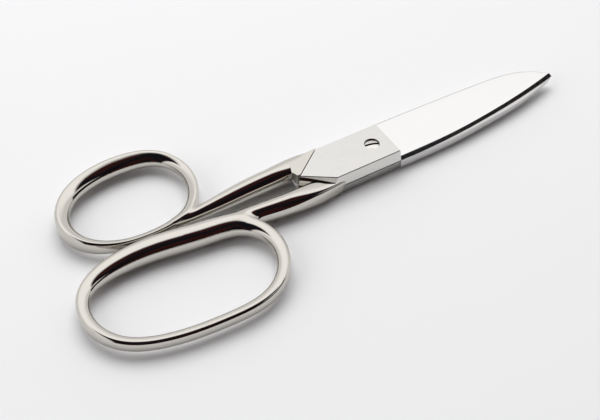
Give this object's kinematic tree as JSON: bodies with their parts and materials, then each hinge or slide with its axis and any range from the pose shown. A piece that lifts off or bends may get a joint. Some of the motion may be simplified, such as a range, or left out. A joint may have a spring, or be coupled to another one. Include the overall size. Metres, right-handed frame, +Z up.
{
  "type": "dressmaking shears",
  "caption": "Closed straight-edged dressmaking shears: two forged, nickel-plated halves with offset finger bows, turning on a slotted pivot screw.",
  "frame": {"origin": "where the pivot axis meets the outer face of the lower joint plate, the face the closed shears lie on", "axes": "+X along the closed blades towards the points, +Y towards the smaller thumb bow, +Z up along the pivot axis, out of the screw's slotted head"},
  "size_m": [0.2024, 0.086, 0.0086],
  "materials": {
    "plated_steel": "forged steel, bright nickel plate, polished; joint plates and wall ground satin",
    "screw_steel": "turned steel, bright nickel plate, polished head"
  },
  "bodies": {
    "lower": {"lower_half": "plated_steel", "pivot_screw": "screw_steel"},
    "upper": {"upper_half": "plated_steel"}
  },
  "joints": [
    {"name": "blade_pivot", "type": "hinge", "parent": "lower", "child": "upper", "pos_m": [0, 0, 0.0043], "axis": [0, 0, 1], "range_deg": [0, 60]}
  ]
}
